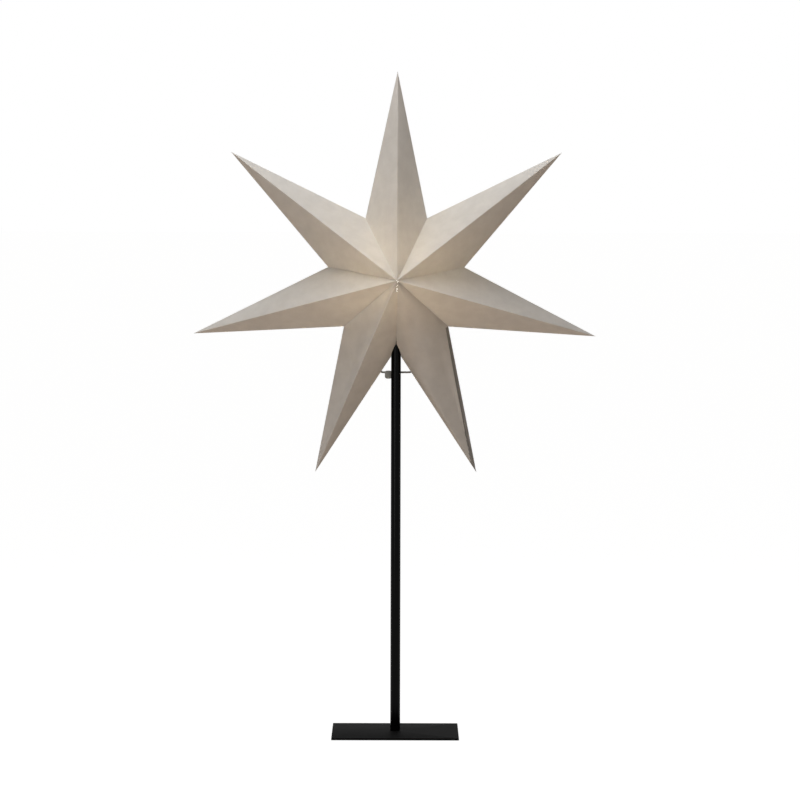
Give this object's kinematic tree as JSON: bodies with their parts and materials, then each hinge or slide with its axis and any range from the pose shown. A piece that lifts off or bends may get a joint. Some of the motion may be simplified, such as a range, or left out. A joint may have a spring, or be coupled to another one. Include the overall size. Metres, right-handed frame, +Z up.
{
  "type": "paper star lamp",
  "caption": "Free-standing lamp: a folded-paper star shade around a small bulb, on a slim round metal pole with a flat square foot plate",
  "frame": {"origin": "on the floor, on the axis of the pole, at the middle of the foot plate", "axes": "+Z up along the pole, the front of the star faces -Y, +X to the right seen from the front"},
  "size_m": [0.6028, 0.192, 1.001],
  "materials": {
    "black_metal": "satin powder coat",
    "zinc_steel": "zinc plated",
    "rubber": "matte",
    "black_plastic": "moulded",
    "white_plastic": "moulded",
    "grey_plastic": "moulded",
    "ceramic": "unglazed",
    "brass": "drawn",
    "nickel": "nickel plated",
    "aluminium": "plain",
    "opal_globe": "opal diffuser",
    "paper": "uncoated folded paper",
    "grey_cord": "braided"
  },
  "bodies": {
    "stand": {"base_plate": "black_metal", "base_screw": "zinc_steel", "foot_pad_1": "rubber", "foot_pad_2": "rubber", "foot_pad_3": "rubber", "foot_pad_4": "rubber", "pole_tube": "black_metal", "pole_bush": "zinc_steel", "cord_grommet": "rubber", "inner_lead": "black_plastic", "nipple_bush": "zinc_steel", "nipple": "zinc_steel", "lock_nut": "zinc_steel", "holder_cap": "black_plastic", "holder_barrel": "black_plastic", "holder_core": "ceramic", "holder_shell": "brass", "terminal_screw_1": "brass", "terminal_screw_2": "brass"},
    "star": {"star_point_top": "paper", "star_point_upper_left": "paper", "star_point_left": "paper", "star_point_lower_left": "paper", "star_point_lower_right": "paper", "star_point_right": "paper", "star_point_upper_right": "paper", "eyelet_left": "brass", "eyelet_right": "brass", "closing_cord": "grey_cord"},
    "tie_stop": {"cord_stop": "grey_plastic"},
    "contact": {"centre_contact": "brass"},
    "bulb": {"bulb_tip": "nickel", "bulb_insulator": "black_plastic", "bulb_cap": "nickel", "bulb_collar": "white_plastic", "led_board": "aluminium", "bulb_globe": "opal_globe"}
  },
  "joints": [
    {"name": "star_swivel", "type": "hinge", "parent": "stand", "child": "star", "pos_m": [0, 0, 0.689], "axis": [0, 0, 1], "continuous": true},
    {"name": "stop_slide", "type": "slide", "parent": "star", "child": "tie_stop", "axis": [-1, 0, 0], "range_m": [0, 0.004]},
    {"name": "contact_rise", "type": "slide", "parent": "stand", "child": "contact", "axis": [0, 0, 1], "range_m": [0, 0.00282]},
    {"name": "bulb_turn", "type": "hinge", "parent": "contact", "child": "bulb", "pos_m": [0, 0, 0.6281], "axis": [0, 0, 1], "range_deg": [0, 360]}
  ],
  "couplings": [
    {"joint": "contact_rise", "follows": "bulb_turn", "m_per_rad": 0.00044914}
  ]
}
